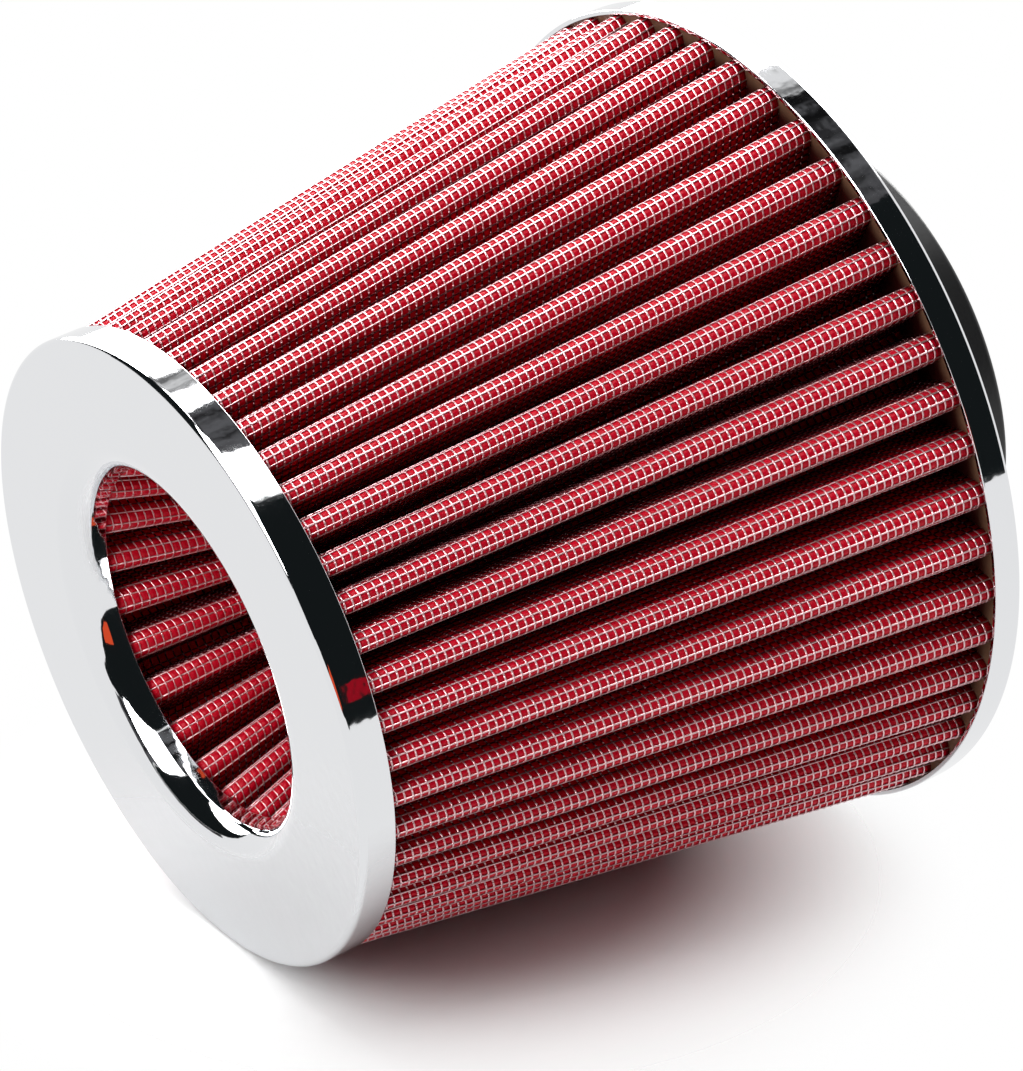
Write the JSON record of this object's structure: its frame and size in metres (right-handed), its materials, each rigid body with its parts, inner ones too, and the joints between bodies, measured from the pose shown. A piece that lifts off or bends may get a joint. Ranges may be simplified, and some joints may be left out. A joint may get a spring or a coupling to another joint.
{
  "type": "performance air filter",
  "caption": "Cone-shaped engine air filter: red pleated gauze between chromed caps, an inverted inner cone and a rubber neck.",
  "frame": {"origin": "centre of the neck's open end", "axes": "+Z along the filter's axis from the neck to the front cap; X and Y across it, with a pleat's crest on +X"},
  "size_m": [0.155, 0.155, 0.1506],
  "materials": {
    "chrome": "polished",
    "gauze": "woven",
    "rubber": "satin",
    "resin": "satin"
  },
  "bodies": {
    "root": {"front_cap": "chrome", "front_resin": "resin", "outer_pleats": "gauze", "inner_pleats": "gauze", "inner_end_cap": "rubber", "rear_resin": "resin", "rear_cap": "chrome", "neck": "rubber"}
  },
  "joints": []
}
